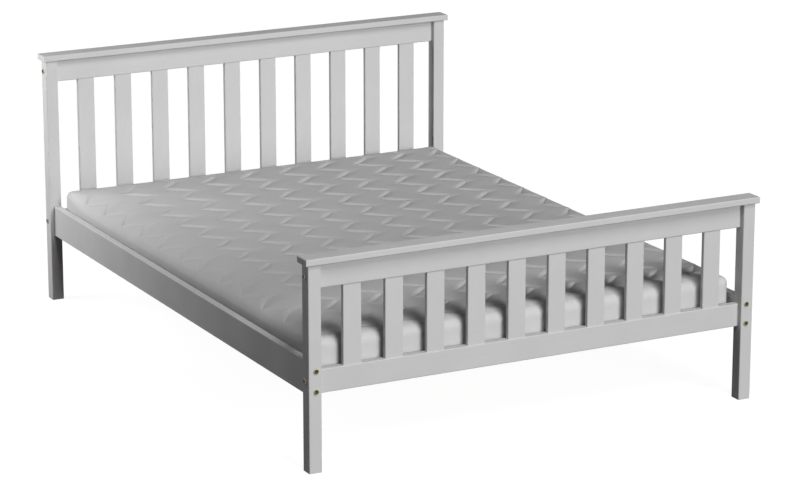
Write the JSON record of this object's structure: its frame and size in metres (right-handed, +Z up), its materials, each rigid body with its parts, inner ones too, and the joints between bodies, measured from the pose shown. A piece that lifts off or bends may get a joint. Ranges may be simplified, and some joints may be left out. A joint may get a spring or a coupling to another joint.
{
  "type": "slatted double bed with mattress",
  "caption": "White painted wooden bed with upright slats in a low foot end and a taller head end, flat overhanging caps, bolted side rails and a quilted mattress.",
  "frame": {"origin": "on the floor, under the middle of the bed", "axes": "+X to the right seen from the foot end, +Y from the foot end to the head end, +Z up"},
  "size_m": [1.499, 2.008, 0.831],
  "materials": {
    "painted_wood": "satin",
    "bare_wood": "matte",
    "zinc_steel": "satin",
    "bolt_brass": "satin",
    "mattress_cover": "matte"
  },
  "bodies": {
    "bed_frame": {"head_post_left": "painted_wood", "head_post_right": "painted_wood", "head_cap": "painted_wood", "head_top_rail": "painted_wood", "head_lower_rail": "painted_wood", "head_upright_1": "painted_wood", "head_upright_2": "painted_wood", "head_upright_3": "painted_wood", "head_upright_4": "painted_wood", "head_upright_5": "painted_wood", "head_upright_6": "painted_wood", "head_upright_7": "painted_wood", "head_upright_8": "painted_wood", "head_upright_9": "painted_wood", "head_upright_10": "painted_wood", "foot_post_left": "painted_wood", "foot_post_right": "painted_wood", "foot_cap": "painted_wood", "foot_top_rail": "painted_wood", "foot_lower_rail": "painted_wood", "foot_upright_1": "painted_wood", "foot_upright_2": "painted_wood", "foot_upright_3": "painted_wood", "foot_upright_4": "painted_wood", "foot_upright_5": "painted_wood", "foot_upright_6": "painted_wood", "foot_upright_7": "painted_wood", "foot_upright_8": "painted_wood", "foot_upright_9": "painted_wood", "foot_upright_10": "painted_wood", "side_rail_left": "painted_wood", "side_rail_right": "painted_wood", "ledge_left": "bare_wood", "ledge_right": "bare_wood", "cross_slat_1": "bare_wood", "cross_slat_2": "bare_wood", "cross_slat_3": "bare_wood", "cross_slat_4": "bare_wood", "cross_slat_5": "bare_wood", "cross_slat_6": "bare_wood", "cross_slat_7": "bare_wood", "cross_slat_8": "bare_wood", "cross_slat_9": "bare_wood", "cross_slat_10": "bare_wood", "cross_slat_11": "bare_wood", "cross_slat_12": "bare_wood", "cross_slat_13": "bare_wood", "cross_slat_14": "bare_wood", "middle_beam": "bare_wood", "middle_leg": "bare_wood", "beam_hanger_foot": "zinc_steel", "beam_hanger_head": "zinc_steel", "bolts": "bolt_brass", "barrel_nuts": "zinc_steel", "dowels": "bare_wood", "cross_slat_screws": "zinc_steel", "frame_screws": "zinc_steel", "hanger_screws": "zinc_steel"},
    "mattress": {"mattress": "mattress_cover"}
  },
  "joints": [
    {"name": "mattress_lift", "type": "slide", "parent": "bed_frame", "child": "mattress", "axis": [0, 0, 1], "range_m": [0, 0.62]}
  ]
}
